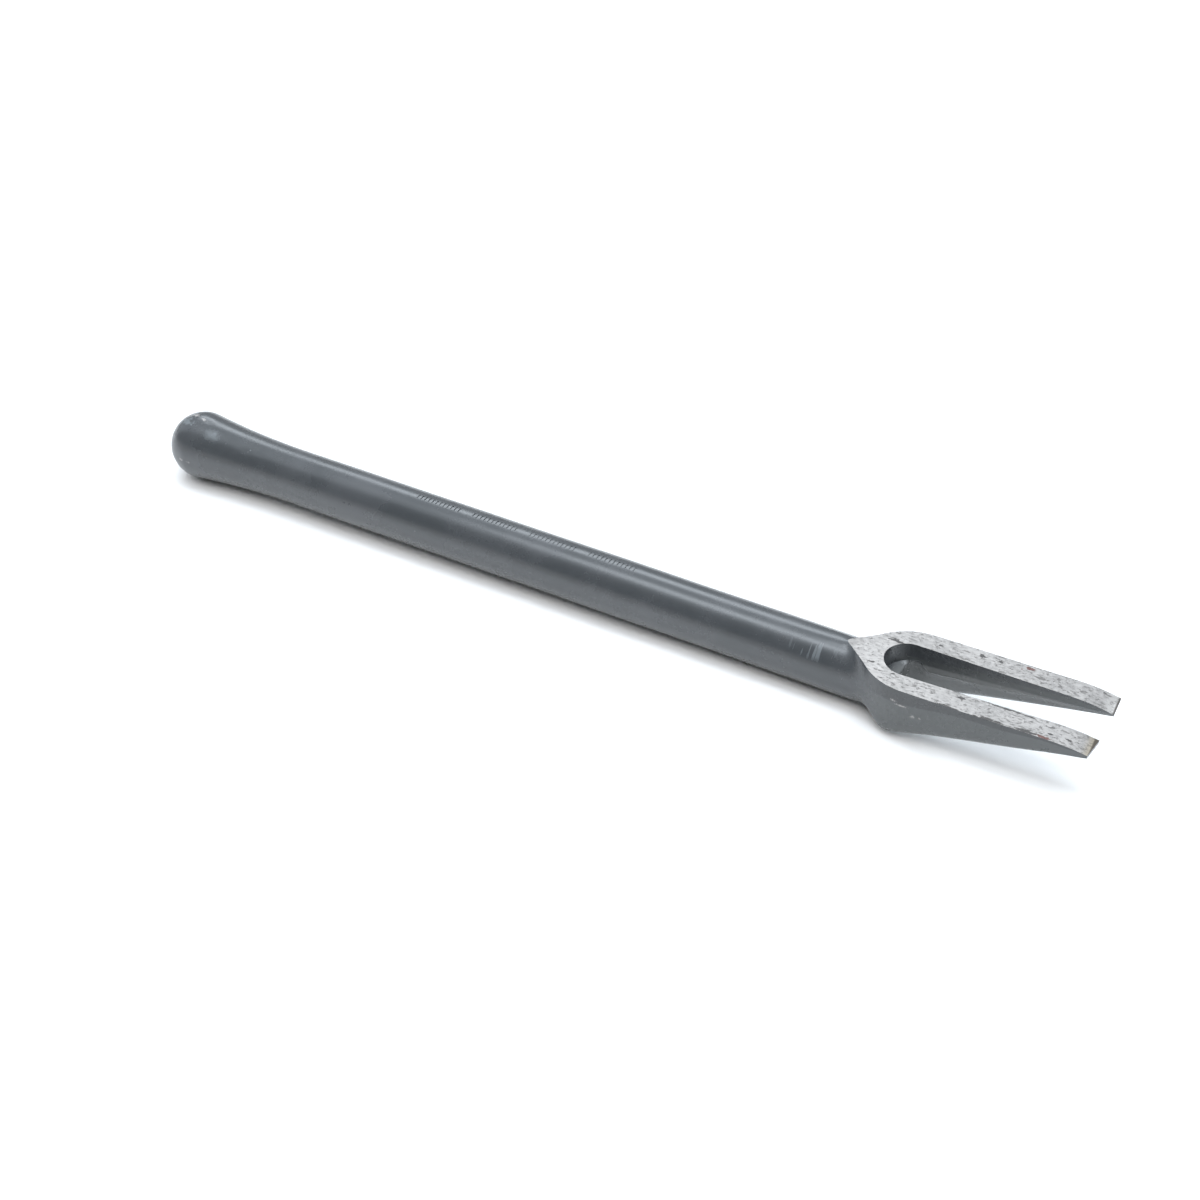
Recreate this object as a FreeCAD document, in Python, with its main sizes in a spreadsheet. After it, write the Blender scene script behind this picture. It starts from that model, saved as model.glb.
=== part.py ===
"""Ball joint separator (pickle fork): one drop forging with a knob end, a round grip and a wedge fork.

The handle axis lies along X and the fork points to +X. The part's origin is the middle of its
length and width, level with its lowest point.
"""
import FreeCAD, Part

import math
import os

import Sketcher

# Driving dimensions in millimetres, and angles in degrees. Distances "from the tips" run back along X.
DRIVING = {
    "overall_length": 400.0,
    "knob_diameter": 28.8,
    "grip_diameter": 22.7,
    "neck_diameter": 22.1,
    "flare_length": 55.0,
    "head_width": 35.2,
    "tip_span": 34.0,
    "shoulder_angle": 45.0,
    "shoulder_radius": 22.0,
    "apex_from_tips": 93.0,
    "slot_depth": 78.0,
    "ledge_depth": 8.0,
    "ledge_height": 3.0,
    "slot_width_inside": 17.6,
    "slot_width_at_tips": 15.0,
    "face_height": 11.5,
    "face_rise": 1.25,
    "heel_depth": 12.4,
    "heel_from_tips": 73.0,
    "heel_back_run": 10.5,
    "tip_thickness": 1.4,
    "tip_curve_length": 15.0,
    "tip_curve_drop": 1.35,
    "lower_edge_radius": 3.2,
    "tip_edge_radius": 0.3,
}

doc = FreeCAD.newDocument("ball_joint_separator")
sheet = doc.addObject("Spreadsheet::Sheet", "Sizes")
for row, (alias, number) in enumerate(DRIVING.items(), start=1):
    sheet.set(f"A{row}", alias)
    sheet.set(f"B{row}", str(number))
    sheet.setAlias(f"B{row}", alias)
doc.recompute()


def size(alias):
    """The sheet's current value of a driving dimension."""
    return float(sheet.get(alias))


def plane_of(body, role):
    """The body's own origin plane with the given role."""
    return next(plane for plane in body.Origin.OriginFeatures if plane.Role == role)


def sketch_on(body, role, name):
    """An empty sketch that lies on one of the body's origin planes."""
    sketch = body.newObject("Sketcher::SketchObject", name)
    sketch.AttachmentSupport = [(plane_of(body, role), "")]
    sketch.MapMode = "FlatFace"
    return sketch


def line(sketch, start, end):
    """Adds a straight edge and gives its number."""
    return sketch.addGeometry(Part.LineSegment(FreeCAD.Vector(*start, 0), FreeCAD.Vector(*end, 0)))


def arc(sketch, centre, radius, first, last):
    """Adds a circular edge between two angles in degrees, and gives its number."""
    circle = Part.Circle(FreeCAD.Vector(*centre, 0), FreeCAD.Vector(0, 0, 1), radius)
    return sketch.addGeometry(Part.ArcOfCircle(circle, math.radians(first), math.radians(last)))


def join(sketch, *corners):
    """Ties pairs of edge ends together; each corner is (edge, end, edge, end)."""
    for corner in corners:
        sketch.addConstraint(Sketcher.Constraint("Coincident", *corner))


def tangent(sketch, *corners):
    """Joins pairs of edge ends so that the edges run smoothly into each other."""
    for corner in corners:
        sketch.addConstraint(Sketcher.Constraint("Tangent", *corner))


def drive(sketch, kind, geometry, value, formula):
    """Adds a dimension that follows a formula of the sheet's values."""
    number = sketch.addConstraint(Sketcher.Constraint(kind, *geometry, value))
    sketch.setExpression(f"Constraints[{number}]", formula)


START, END, CENTRE = 1, 2, 3
ORIGIN = (-1, 1)
X_AXIS = -1


def polygon(sketch, points):
    """Adds a closed run of straight edges, joined end to end, and gives their numbers."""
    edges = [line(sketch, a, b) for a, b in zip(points, points[1:] + points[:1])]
    join(sketch, *[(a, END, b, START) for a, b in zip(edges, edges[1:] + edges[:1])])
    return edges


def place_corner(sketch, edge, point, x_formula, y_formula):
    """Holds the start of an edge at the place that two formulas give, measured from the origin."""
    for kind, value, formula in (("DistanceX", point[0], x_formula), ("DistanceY", point[1], y_formula)):
        if abs(value) < 1e-9:
            other = "Vertical" if kind == "DistanceX" else "Horizontal"
            sketch.addConstraint(Sketcher.Constraint(other, *ORIGIN, edge, START))
        else:
            drive(sketch, kind, (*ORIGIN, edge, START), value, formula)


def driven_polygon(sketch, corners):
    """A closed outline whose corners are (x, y, formula of x, formula of y)."""
    edges = polygon(sketch, [corner[:2] for corner in corners])
    for edge, corner in zip(edges, corners):
        place_corner(sketch, edge, corner[:2], corner[2], corner[3])
    return edges


def pocket(body, profile, name):
    """Cuts the profile out of the body, on both sides of its plane."""
    cut = body.newObject("PartDesign::Pocket", name)
    cut.Profile = profile
    cut.Type = "ThroughAll"
    cut.SideType = "Symmetric"
    return cut


fork = doc.addObject("PartDesign::Body", "ForgedFork")
fork.Label = "forging_with_sharp_edges"
tips = size("overall_length")
tips_formula = "Sizes.overall_length"


# ---- Head: the outline seen from above, padded from the ground face down to the heel ----
def head_outline():
    """Pointed shoulders that run through an arc into the two nearly straight sides of the fork."""
    sketch = sketch_on(fork, "XY_Plane", "HeadOutline")
    apex = tips - size("apex_from_tips")
    slope = math.radians(size("shoulder_angle"))
    radius = size("shoulder_radius")
    half = size("head_width") / 2
    widest = apex + (half - radius * (1 - math.cos(slope))) / math.tan(slope) + radius * math.sin(slope)
    sides = []
    for side in (1, -1):
        touch = (widest - radius * math.sin(slope), side * (half - radius * (1 - math.cos(slope))))
        shoulder = line(sketch, (apex, 0), touch)
        turn = (90, 90 + math.degrees(slope)) if side > 0 else (270 - math.degrees(slope), 270)
        bend = arc(sketch, (widest, side * (half - radius)), radius, *turn)
        run = line(sketch, (widest, side * half), (tips, side * size("tip_span") / 2))
        first, last = (END, START) if side > 0 else (START, END)
        tangent(sketch, (shoulder, END, bend, first), (bend, last, run, START))
        sides.append((shoulder, bend, run))
    (upper, upper_bend, upper_run), (lower, lower_bend, lower_run) = sides
    across = line(sketch, (tips, size("tip_span") / 2), (tips, -size("tip_span") / 2))
    join(sketch, (upper, START, lower, START), (upper_run, END, across, START), (lower_run, END, across, END))
    sketch.addConstraint(Sketcher.Constraint("PointOnObject", upper, START, X_AXIS))
    sketch.addConstraint(Sketcher.Constraint("Symmetric", across, START, across, END, X_AXIS))
    sketch.addConstraint(Sketcher.Constraint("Symmetric", upper_run, START, lower_run, START, X_AXIS))
    sketch.addConstraint(Sketcher.Constraint("Equal", upper_bend, lower_bend))
    drive(sketch, "DistanceX", (*ORIGIN, upper, START), apex, f"{tips_formula} - Sizes.apex_from_tips")
    drive(sketch, "DistanceX", (*ORIGIN, across, START), tips, tips_formula)
    drive(sketch, "DistanceY", (across, END, across, START), size("tip_span"), "Sizes.tip_span")
    drive(sketch, "Radius", (upper_bend,), radius, "Sizes.shoulder_radius")
    drive(sketch, "DistanceY", (*ORIGIN, upper_run, START), half, "Sizes.head_width / 2")
    drive(sketch, "Angle", (X_AXIS, START, upper, START), slope, "Sizes.shoulder_angle * 1 deg")
    return sketch


head = fork.newObject("PartDesign::Pad", "Head")
head.Profile = head_outline()
head.SideType = "Two sides"
head.setExpression("Length", "1.1 * (Sizes.face_height + Sizes.face_rise)")
head.setExpression("Length2", "Sizes.heel_depth")


# ---- Cuts seen from the side: the step behind the heel, the wedge under the fork, the ground face ----
def heel_step():
    """What is taken away below and behind the heel, so that the grip runs out of the head there."""
    sketch = sketch_on(fork, "XZ_Plane", "HeelStepOutline")
    heel = tips - size("heel_from_tips")
    back = tips - size("apex_from_tips") - size("grip_diameter")
    under = -2 * size("heel_depth")
    heel_formula = f"{tips_formula} - Sizes.heel_from_tips"
    back_formula = f"{tips_formula} - Sizes.apex_from_tips - Sizes.grip_diameter"
    rise = 1.2
    top = (rise - 1) * size("heel_depth")
    top_formula = f"{rise - 1} * Sizes.heel_depth"
    driven_polygon(sketch, [
        (back, under, back_formula, "-2 * Sizes.heel_depth"),
        (heel, under, heel_formula, "-2 * Sizes.heel_depth"),
        (heel, -size("heel_depth"), heel_formula, "-Sizes.heel_depth"),
        (heel - rise * size("heel_back_run"), top, f"{heel_formula} - {rise} * Sizes.heel_back_run", top_formula),
        (back, top, back_formula, top_formula),
    ])
    return sketch


def wedge():
    """What is taken away under the fork, from the heel to the thin tips."""
    sketch = sketch_on(fork, "XZ_Plane", "WedgeOutline")
    heel = tips - size("heel_from_tips")
    tip_under = size("face_height") + size("face_rise") - size("tip_curve_drop") - size("tip_thickness")
    tip_formula = "Sizes.face_height + Sizes.face_rise - Sizes.tip_curve_drop - Sizes.tip_thickness"
    driven_polygon(sketch, [
        (heel, -size("heel_depth"), f"{tips_formula} - Sizes.heel_from_tips", "-Sizes.heel_depth"),
        (tips, -size("heel_depth"), tips_formula, "-Sizes.heel_depth"),
        (tips, tip_under, tips_formula, tip_formula),
    ])
    return sketch


def ground_face():
    """What is ground off above the head: a face that rises slowly forwards and curves down at the tips."""
    sketch = sketch_on(fork, "XZ_Plane", "GroundFaceOutline")
    rise = size("face_rise")
    drop = size("tip_curve_drop")
    run = size("apex_from_tips") - size("tip_curve_length")
    lead = size("neck_diameter") / 2
    back = tips - size("apex_from_tips") - lead
    bend_start = tips - size("tip_curve_length")
    low = size("face_height") - rise * lead / run
    high = size("face_height") + rise
    ceiling = 2 * high
    slope = math.atan2(rise, run)
    lean = 2 * (math.atan2(drop, size("tip_curve_length")) + slope)
    radius = math.hypot(size("tip_curve_length"), drop) / (2 * math.sin(lean / 2))
    centre = (bend_start + radius * math.sin(slope), high - radius * math.cos(slope))
    first = 90 + math.degrees(slope)
    face = line(sketch, (back, low), (bend_start, high))
    bend = arc(sketch, centre, radius, first - math.degrees(lean), first)
    up = line(sketch, (tips, high - drop), (tips, ceiling))
    across = line(sketch, (tips, ceiling), (back, ceiling))
    down = line(sketch, (back, ceiling), (back, low))
    tangent(sketch, (face, END, bend, END))
    join(sketch, (bend, START, up, START), (up, END, across, START), (across, END, down, START))
    join(sketch, (down, END, face, START))
    sketch.addConstraint(Sketcher.Constraint("Vertical", up))
    sketch.addConstraint(Sketcher.Constraint("Horizontal", across))
    high_formula = "(Sizes.face_height + Sizes.face_rise)"
    lead_formula = "Sizes.neck_diameter / 2"
    low_formula = f"Sizes.face_rise * {lead_formula} / (Sizes.apex_from_tips - Sizes.tip_curve_length)"
    place_corner(sketch, face, (back, low),
                 f"{tips_formula} - Sizes.apex_from_tips - {lead_formula}", f"Sizes.face_height - {low_formula}")
    place_corner(sketch, across, (tips, ceiling), tips_formula, f"2 * {high_formula}")
    sketch.addConstraint(Sketcher.Constraint("Vertical", down))
    drive(sketch, "DistanceX", (*ORIGIN, face, END), bend_start, f"{tips_formula} - Sizes.tip_curve_length")
    drive(sketch, "DistanceY", (*ORIGIN, face, END), high, high_formula)
    drive(sketch, "DistanceY", (*ORIGIN, up, START), high - drop, f"{high_formula} - Sizes.tip_curve_drop")
    return sketch


pocket(fork, heel_step(), "HeelStep")
pocket(fork, wedge(), "Wedge")
pocket(fork, ground_face(), "GroundFace")


# ---- Grip and knob, turned about the handle axis ----
def grip_profile():
    """Half of the handle's long section: the knob's ball, the flare, and the slightly tapered grip."""
    sketch = sketch_on(fork, "XZ_Plane", "GripProfile")
    ball = size("knob_diameter") / 2
    grip = size("grip_diameter") / 2
    neck = size("neck_diameter") / 2
    flare_end = ball + size("flare_length")
    grip_end = tips - size("heel_from_tips")
    flare = (flare_end - ball) ** 2 / (2 * (ball - grip)) - (ball + grip) / 2
    lean = math.degrees(math.atan2(flare_end - ball, flare + grip))
    axis = line(sketch, (0, 0), (grip_end, 0))
    face = line(sketch, (grip_end, 0), (grip_end, neck))
    run = line(sketch, (grip_end, neck), (flare_end, grip))
    sweep = arc(sketch, (flare_end, grip + flare), flare, 270 - lean, 270)
    knob = arc(sketch, (ball, 0), ball, 90 - lean, 180)
    join(sketch, (axis, END, face, START), (face, END, run, START), (knob, END, axis, START))
    tangent(sketch, (run, END, sweep, END), (sweep, START, knob, START))
    join(sketch, (*ORIGIN, axis, START))
    sketch.addConstraint(Sketcher.Constraint("Horizontal", axis))
    sketch.addConstraint(Sketcher.Constraint("Vertical", face))
    sketch.addConstraint(Sketcher.Constraint("PointOnObject", knob, CENTRE, X_AXIS))
    drive(sketch, "Radius", (knob,), ball, "Sizes.knob_diameter / 2")
    drive(sketch, "DistanceX", (*ORIGIN, axis, END), grip_end, f"{tips_formula} - Sizes.heel_from_tips")
    drive(sketch, "DistanceY", (face, START, face, END), neck, "Sizes.neck_diameter / 2")
    drive(sketch, "DistanceY", (*ORIGIN, run, END), grip, "Sizes.grip_diameter / 2")
    drive(sketch, "DistanceX", (knob, CENTRE, run, END), size("flare_length"), "Sizes.flare_length")
    return sketch


profile = grip_profile()
handle = fork.newObject("PartDesign::Revolution", "GripAndKnob")
handle.Profile = profile
handle.ReferenceAxis = (profile, ["H_Axis"])
handle.Angle = 360


# ---- Slot between the two tines: above a ledge, its closed end is round and reaches further back ----
def slot_end_centre():
    """Place along X of the middle of the slot's round closed end, and the formula for it."""
    return (tips - size("slot_depth") + size("slot_width_inside") / 2,
            f"{tips_formula} - Sizes.slot_depth + Sizes.slot_width_inside / 2")


def slot_outline():
    """The slot below the ledge: a flat closed end with rounded corners, and sides that draw together."""
    sketch = sketch_on(fork, "XY_Plane", "SlotOutline")
    radius = size("slot_width_inside") / 2
    centre, centre_formula = slot_end_centre()
    mouth = size("slot_width_at_tips") / 2
    flat_end = tips - size("slot_depth") + size("ledge_depth")
    lean = math.degrees(math.atan2(radius - mouth, tips - centre))
    half = math.degrees(math.acos((centre - flat_end) / radius))
    corner = radius * math.sin(math.radians(half))
    far_bend = arc(sketch, (centre, 0), radius, 90 - lean, 180 - half)
    near_bend = arc(sketch, (centre, 0), radius, 180 + half, 270 + lean)
    flat = line(sketch, (flat_end, corner), (flat_end, -corner))
    far = line(sketch, (centre, radius), (tips, mouth))
    near = line(sketch, (centre, -radius), (tips, -mouth))
    open_side = line(sketch, (tips, mouth), (tips, -mouth))
    tangent(sketch, (far_bend, START, far, START), (near_bend, END, near, START))
    join(sketch, (far_bend, END, flat, START), (near_bend, START, flat, END))
    join(sketch, (far, END, open_side, START), (near, END, open_side, END))
    join(sketch, (far_bend, CENTRE, near_bend, CENTRE))
    sketch.addConstraint(Sketcher.Constraint("PointOnObject", far_bend, CENTRE, X_AXIS))
    sketch.addConstraint(Sketcher.Constraint("Equal", far_bend, near_bend))
    sketch.addConstraint(Sketcher.Constraint("Vertical", flat))
    sketch.addConstraint(Sketcher.Constraint("Symmetric", open_side, START, open_side, END, X_AXIS))
    drive(sketch, "Radius", (far_bend,), radius, "Sizes.slot_width_inside / 2")
    drive(sketch, "DistanceX", (*ORIGIN, open_side, START), tips, tips_formula)
    drive(sketch, "DistanceY", (open_side, END, open_side, START), 2 * mouth, "Sizes.slot_width_at_tips")
    drive(sketch, "DistanceX", (*ORIGIN, far_bend, CENTRE), centre, centre_formula)
    drive(sketch, "DistanceX", (*ORIGIN, flat, START), flat_end,
          f"{tips_formula} - Sizes.slot_depth + Sizes.ledge_depth")
    return sketch


def closed_end_outline():
    """The round recess above the ledge."""
    sketch = sketch_on(fork, "XY_Plane", "ClosedEndOutline")
    centre, centre_formula = slot_end_centre()
    circle = Part.Circle(FreeCAD.Vector(centre, 0, 0), FreeCAD.Vector(0, 0, 1), size("slot_width_inside") / 2)
    rim = sketch.addGeometry(circle)
    sketch.addConstraint(Sketcher.Constraint("PointOnObject", rim, CENTRE, X_AXIS))
    drive(sketch, "Radius", (rim,), size("slot_width_inside") / 2, "Sizes.slot_width_inside / 2")
    drive(sketch, "DistanceX", (*ORIGIN, rim, CENTRE), centre, centre_formula)
    sketch.setExpression("AttachmentOffset.Base.z", "Sizes.ledge_height")
    return sketch


pocket(fork, slot_outline(), "Slot")
closed_end = pocket(fork, closed_end_outline(), "ClosedEnd")
closed_end.SideType = "One side"
closed_end.Reversed = True
fork.setExpression("Placement.Base.x", "-Sizes.overall_length / 2")
fork.setExpression("Placement.Base.z", "max(Sizes.knob_diameter / 2; Sizes.heel_depth)")
doc.recompute()


# ---- Rounded lower edges, whose radius shrinks with the tines' thickness ----
def lower_edges(shape):
    """The long edges of the underside, each with its radius at its first and at its second end."""
    heel_radius = size("lower_edge_radius")
    tip_radius = size("tip_edge_radius")
    found = []
    for number, edge in enumerate(shape.Edges, start=1):
        first, last = (vertex.Point for vertex in edge.Vertexes[:1] + edge.Vertexes[-1:])
        run = abs(last.x - first.x)
        rise = abs(last.z - first.z)
        if run > size("heel_from_tips") / 2 and rise > size("face_height") / 2:
            forward = edge.valueAt(edge.FirstParameter).x < edge.valueAt(edge.LastParameter).x
            radii = (heel_radius, tip_radius) if forward else (tip_radius, heel_radius)
            found.append((number, *radii))
    return found


rounded = doc.addObject("Part::Fillet", "RoundedFork")
rounded.Base = fork
rounded.Edges = lower_edges(fork.Shape)
rounded.Label = "forged_fork"
doc.recompute()

failed = [item.Name for item in doc.Objects if {"Invalid", "Error"} & set(item.State)]
if failed:
    raise RuntimeError(f"features that failed: {failed}")
if len(rounded.Edges) != 4:
    raise RuntimeError("the fork should have four rounded lower edges")

os.makedirs("parts", exist_ok=True)
for part in (rounded,):
    if part.Shape.isNull() or not part.Shape.isValid():
        raise RuntimeError(f"{part.Label} has no valid shape")
    part.Shape.exportStep(f"parts/{part.Label}.step")
    print(part.Label, "solids", len(part.Shape.Solids), "volume", round(part.Shape.Volume, 1))
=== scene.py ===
"""Ball joint separator: a forged pickle fork with a dark satin skin and a ground, bare top face.

Sizes are in millimetres along the tool: x from the knob's end to the tips, y across with the far side
positive, and z up from the handle's axis. place() turns them into the frame's metres. Only the lamps and
the floor are given in metres.
"""
import math

import bmesh
import bpy
import numpy as np
from mathutils import Euler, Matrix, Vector


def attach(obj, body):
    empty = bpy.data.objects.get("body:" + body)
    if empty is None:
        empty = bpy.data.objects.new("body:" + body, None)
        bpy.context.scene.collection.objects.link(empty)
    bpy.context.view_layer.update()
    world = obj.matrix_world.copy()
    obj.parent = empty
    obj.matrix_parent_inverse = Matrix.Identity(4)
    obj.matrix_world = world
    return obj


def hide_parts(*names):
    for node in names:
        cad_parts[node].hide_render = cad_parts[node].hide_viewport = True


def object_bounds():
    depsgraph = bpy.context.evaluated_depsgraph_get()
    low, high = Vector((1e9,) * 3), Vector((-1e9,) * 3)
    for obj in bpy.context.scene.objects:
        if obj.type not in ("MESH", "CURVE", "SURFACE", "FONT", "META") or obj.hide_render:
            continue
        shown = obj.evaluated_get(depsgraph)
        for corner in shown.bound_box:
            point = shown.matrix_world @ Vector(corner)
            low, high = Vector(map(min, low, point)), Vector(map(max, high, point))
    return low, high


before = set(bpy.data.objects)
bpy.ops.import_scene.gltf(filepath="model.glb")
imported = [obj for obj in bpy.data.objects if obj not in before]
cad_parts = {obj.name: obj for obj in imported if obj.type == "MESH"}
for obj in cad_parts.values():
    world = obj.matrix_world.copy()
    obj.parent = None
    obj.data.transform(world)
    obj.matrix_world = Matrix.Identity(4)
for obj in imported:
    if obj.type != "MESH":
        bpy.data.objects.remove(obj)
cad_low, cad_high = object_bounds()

MM = 0.001

# ---- Sizes of the forging ----
LENGTH = (cad_high.x - cad_low.x) / MM
BALL = 14.4                 # radius of the knob
GRIP = 11.45                # radius of the grip behind the flare
NECK = 11.12                # radius of the grip at the fork
FLARE = 55.0                # length over which the knob runs into the grip
FLARE_CURVE = 2.2           # how quickly the flare falls away
APEX = LENGTH - 92.5        # where the shoulders start
HEAD_HALF = 17.2
TIP_HALF = 16.65
SHOULDER = 22.0             # radius of the shoulder's arc
SHOULDER_ANGLE = math.radians(45)
WALL_SWELL = 0.35           # how far the walls stand out at the parting line
DRAFT_ABOVE = -0.085        # slope of the outer walls above the parting line
DRAFT_BELOW = 0.07
HEEL = LENGTH - 73.2
HEEL_DEPTH = 11.7
HEEL_BACK = 12.0            # how far the heel's back face leans over its depth
NECK_LEAN = 5.6             # the same lean above the axis
FACE_START = 11.55          # height of the ground face at the apex
FACE_RISE = 0.0165
TIP_CURVE = 15.0
TIP_DROP = 1.8
TIP_THICKNESS = 0.95
FORGED_TOP = 15.0           # height of the fork before its top is ground
UNDERSIDE_HOLLOW = 0.5
RIDGE_OFFSET = 1.0          # the forged ridge on the neck lies a little to the far side
RIDGE_HALF = 2.6
RIDGE_BELOW_NECK = 1.2      # how far the ridge's top starts below the neck's radius
SLOT_END = LENGTH - 78.5
SLOT_HALF = 8.8
SLOT_MOUTH = 7.4
SLOT_DRAFT = 0.13
SLOT_EDGE_RADIUS = 3.2
LEDGE = 5.4                 # how far the slot's closed end steps in below the ledge
NEAR_TINE_SHORTER = 0.9
NEAR_TINE_SKEW = 1.5
STAMP_START = 125.0
STAMP_GROUPS = 4
STAMP_GROUP_SPACING = 26.0
STAMP_STROKES = 12
STAMP_SPACING = 1.75
STAMP_STROKE = (0.6, 2.4, 1.0)      # along, across and deep

# ---- How far neighbouring surfaces of the forging blend into each other ----
KNOB_BLEND = 0.15
GRIP_END_BLEND = 2.0
HEEL_BLEND = 4.0
NECK_BLEND = 4.0
RIDGE_BLEND = 1.8
RIDGE_SIDES = 0.8           # below 1, so that the ridge's sides round over a wider strip
CORNER_SHARE = 0.26         # rounding of the fork's lower edges, as a share of its thickness
CORNER_LIMITS = (0.5, 4.6)

# A slanted surface's field grows faster than the distance to it, so it is scaled back.
SHOULDER_SLANT = 0.74
TINE_SLANT = 0.97
UNDERSIDE_SLANT = 0.95
HEEL_SLANT = 0.76

# ---- Wear and marks ----
WAVINESS = 0.14
# Height of the parting line on the outer walls, by place along the tool.
FLASH = ((307.0, 0.0), (325.0, 6.2), (335.0, 6.6), (345.0, 8.3),
         (355.0, 9.8), (369.0, 10.2), (383.0, 11.9), (400.0, 12.0))
FLASH_TOP = FLASH[-1][1]
# Small dents, as (x, y, z, width, depth).
DENTS = ((43.0, -7.4, 11.0, 2.4, 0.35), (48.0, -6.5, 11.6, 2.0, 0.3), (18.8, -1.0, 13.4, 2.6, 0.3),
         (11.0, -14.0, 0.4, 3.2, 0.25), (18.0, -13.4, 0.0, 2.4, 0.2), (9.0, 1.0, 13.0, 3.0, 0.3))
# Marks on the finish, as (x, y, z, length, width).
CHIPS = ((12.0, 0.2, 14.0, 2.2, 1.6), (16.5, -0.8, 13.8, 2.6, 1.2), (12.5, -13.9, 0.3, 1.8, 1.0),
         (16.0, -13.6, 0.0, 2.4, 0.9), (329.2, -17.3, 2.4, 0.5, 0.35), (329.4, -17.2, 0.2, 0.4, 0.3),
         (331.0, -17.4, 7.2, 2.6, 0.5), (334.5, -17.4, 6.0, 3.0, 0.5), (329.3, -17.3, 3.6, 0.5, 0.6),
         (339.0, -17.3, 2.6, 1.4, 0.9), (341.4, -17.3, 2.9, 0.7, 0.6))
RUBBED = ((43.0, -7.4, 11.1, 2.2, 1.8), (47.5, -6.6, 11.6, 2.2, 1.4), (10.0, -4.0, 12.4, 5.0, 3.0))
SCALE_PITS = ((322.3, 7.7, 11.7, 5.2, 1.2), (319.0, -7.0, 11.7, 3.0, 0.9), (321.5, -10.2, 11.7, 2.8, 0.8),
              (328.0, -9.7, 11.8, 1.0, 0.8), (337.5, 12.4, 12.0, 2.0, 0.7), (353.0, -10.6, 12.2, 2.6, 1.2),
              (352.0, 14.1, 12.2, 2.0, 1.5), (358.7, 14.0, 12.3, 1.0, 0.9), (384.2, -10.4, 12.7, 1.6, 0.8),
              (384.1, -13.7, 12.7, 1.4, 0.8), (390.5, -13.6, 12.6, 1.8, 1.1), (392.0, -11.0, 12.6, 1.4, 0.6),
              (377.0, -16.2, 12.6, 6.0, 1.2), (364.0, -16.6, 12.4, 9.0, 1.2), (350.0, -16.8, 12.1, 6.0, 0.8),
              (368.5, -8.65, 12.55, 14.5, 0.75), (394.5, 15.6, 12.2, 1.6, 0.7), (333.0, 14.0, 11.9, 0.9, 0.6),
              (343.0, -13.0, 12.1, 1.2, 0.5), (317.0, 9.5, 11.6, 1.3, 0.6), (325.0, -13.6, 11.8, 1.4, 0.5))
RUST_SPOTS = ((368.8, 15.2, 12.5, 3.0, 1.5), (382.5, -16.3, 12.7, 3.4, 1.2), (366.0, 13.6, 12.4, 1.4, 0.7),
              (309.0, 4.0, 11.5, 1.6, 0.8))
# Middles of two larger patches on the coating: a brush-marked patch at the neck, lightened as a painted
# highlight, and a worn patch on the knob.
BRUSHED_PATCH = (298, -7, 8)
WORN_PATCH = (25, -6.2, 12.2)

# ---- Colours ----
COATING_DARK = (0.050, 0.055, 0.060, 1)
COATING_LIGHT = (0.062, 0.067, 0.073, 1)
# Painted shade: the fork's outer walls are darker above the parting line.
COATING_ABOVE_FLASH = (0.028, 0.030, 0.031, 1)
# Painted light: the fork's outer walls are lighter below the parting line.
COATING_BELOW_FLASH = (0.082, 0.090, 0.086, 1)
# Painted light on the slot's walls under the ledge.
COATING_UNDER_LEDGE = (0.20, 0.205, 0.205, 1)
# Colour of rubbing wear, also used to lighten the neck's brush-marked patch as a painted highlight.
COATING_RUBBED = (0.24, 0.27, 0.29, 1)
CHIPPED_STEEL = (0.44, 0.42, 0.41, 1)
STEEL_DARK = (0.270, 0.258, 0.249, 1)
STEEL_LIGHT = (0.412, 0.392, 0.378, 1)
STEEL_TOWARDS_TIPS = (0.23, 0.222, 0.215, 1)
# Painted highlight: the far tine's curved-down tip is made lighter.
STEEL_FAR_TIP = (0.56, 0.54, 0.52, 1)
STEEL_NEAR_TIP = (0.40, 0.33, 0.22, 1)
BURNT_EDGE = (0.07, 0.058, 0.048, 1)
FORGING_SCALE = (0.035, 0.033, 0.033, 1)
RUST = (0.10, 0.035, 0.028, 1)
FLOOR_WHITE = (0.93, 0.93, 0.93, 1)

# ---- Camera and studio ----
CAMERA_PLACE = (436.77, -416.20, 371.91)
CAMERA_TURN = (51.250, -0.158, 28.999)
CAMERA_LENS = 47.36
# Brightness of the surroundings by angle: 0 is the near horizon, 90 straight up, 180 the far horizon.
SURROUNDINGS = ((0, 0.80), (13, 0.80), (17, 0.06), (65, 0.06),
                (71, 1.06), (112, 1.06), (135, 0.4), (180, 0.4))
SURROUNDINGS_STRENGTH = 2.0
TINTED_ANGLES = (65, 180)   # the surroundings between these angles have the sky's tint
SKY_TINT = (0.925, 1.0, 1.07)
# Each lamp: where it hangs and its size, in metres, its brightness, and whether it shows in reflections.
LAMPS = {
    "far_softbox": ((-0.32, 0.96, 1.02), (1.6, 0.42), 4.6, True),
    "overhead_softbox": ((0.1, -0.03, 1.25), (1.4, 0.36), 4.6, True),
    "near_fill": ((0.1, -0.66, 1.22), (2.2, 0.7), 3.0, False),
}
FLOOR_HALF = 2.5            # metres
FLOOR_GAP = 0.0001          # metres


def place(points):
    """Tool millimetres to the frame's metres."""
    return np.asarray(points, dtype=float) * MM + np.array([cad_low.x, 0.0, BALL * MM])


def spot(x, y, z):
    """One place on the tool, in the frame's metres."""
    return tuple(float(value) for value in place((x, y, z)))


def x_at(x):
    """One place along the tool, in the frame's metres."""
    return spot(x, 0, 0)[0]


def smooth_least(a, b, width):
    """The lesser of two fields, rounded where they are within width of each other."""
    near = np.maximum(width - np.abs(a - b), 0.0) / width
    return np.minimum(a, b) - near * near * width / 4


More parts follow.
